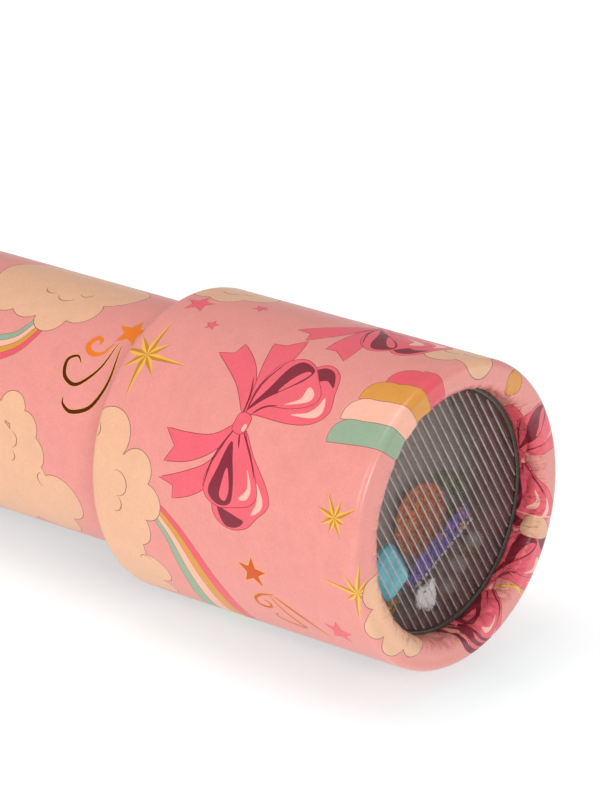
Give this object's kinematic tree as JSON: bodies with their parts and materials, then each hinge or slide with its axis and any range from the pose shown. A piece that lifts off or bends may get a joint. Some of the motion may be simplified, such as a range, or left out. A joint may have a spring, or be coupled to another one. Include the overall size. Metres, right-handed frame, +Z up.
{
  "type": "kaleidoscope",
  "caption": "Card kaleidoscope: a paper-covered viewing tube with mirrors and a peephole, and a larger turning head that holds loose coloured pieces behind a ribbed window.",
  "frame": {"origin": "on the floor, below the middle of the object's box, as it lies on its side", "axes": "+X along the object towards the turning head, +Z up. The object's own axis is tilted up towards the head by the small angle that rests the eye end and the head's rear edge on the floor"},
  "size_m": [0.1742, 0.058, 0.0608],
  "materials": {
    "printed_paper": "satin, printed",
    "end_paper": "satin",
    "card": "matte",
    "clear_plastic": "clear, gloss",
    "ribbed_plastic": "clear, ribbed",
    "mirror": "mirror",
    "tape": "satin tape",
    "foam": "matte foam",
    "chamber_plastic": "matte",
    "white_flake": "matte",
    "blue_gem": "translucent",
    "clear_bead": "clear",
    "sequin": "iridescent gloss",
    "rose_gem": "translucent",
    "gold_foil": "foil",
    "orange_glitter": "glitter",
    "green_bead": "gloss",
    "amber_bead": "translucent"
  },
  "bodies": {
    "tube_body": {"main_tube": "card", "tube_wrap": "printed_paper", "eye_disc": "card", "eye_end_paper": "end_paper", "eye_window": "clear_plastic", "eye_retainer_ring": "card", "mirror_bottom": "mirror", "mirror_left": "mirror", "mirror_right": "mirror", "mirror_band_rear": "tape", "mirror_band_front": "tape", "packing_pad_bottom": "foam", "packing_pad_left": "foam", "packing_pad_right": "foam", "tube_window": "clear_plastic", "tube_window_ring": "card", "stop_ring": "card"},
    "head": {"head_tube": "card", "head_wrap": "printed_paper", "head_collar": "card", "window_seat_ring": "card", "chamber_rear_window": "clear_plastic", "chamber_ring": "chamber_plastic", "chamber_front_window": "ribbed_plastic", "lip_ring": "card"},
    "loose_front": {"white_flake": "white_flake", "blue_gem": "blue_gem", "clear_beads": "clear_bead"},
    "loose_middle": {"sequin_strip": "sequin", "rose_gem": "rose_gem", "gold_star_piece": "gold_foil"},
    "loose_rear": {"orange_glitter_disc": "orange_glitter", "green_beads": "green_bead", "amber_bead": "amber_bead"}
  },
  "joints": [
    {"name": "head_turn", "type": "hinge", "parent": "tube_body", "child": "head", "pos_m": [0.05384, 0, 0.03043], "axis": [0.9989, 0, 0.0479], "continuous": true},
    {"name": "tumble_front", "type": "hinge", "parent": "head", "child": "loose_front", "pos_m": [0.07182, 0, 0.03129], "axis": [0.9989, 0, 0.0479], "continuous": true},
    {"name": "tumble_middle", "type": "hinge", "parent": "head", "child": "loose_middle", "pos_m": [0.07182, 0, 0.03129], "axis": [0.9989, 0, 0.0479], "continuous": true},
    {"name": "tumble_rear", "type": "hinge", "parent": "head", "child": "loose_rear", "pos_m": [0.07182, 0, 0.03129], "axis": [0.9989, 0, 0.0479], "continuous": true}
  ]
}
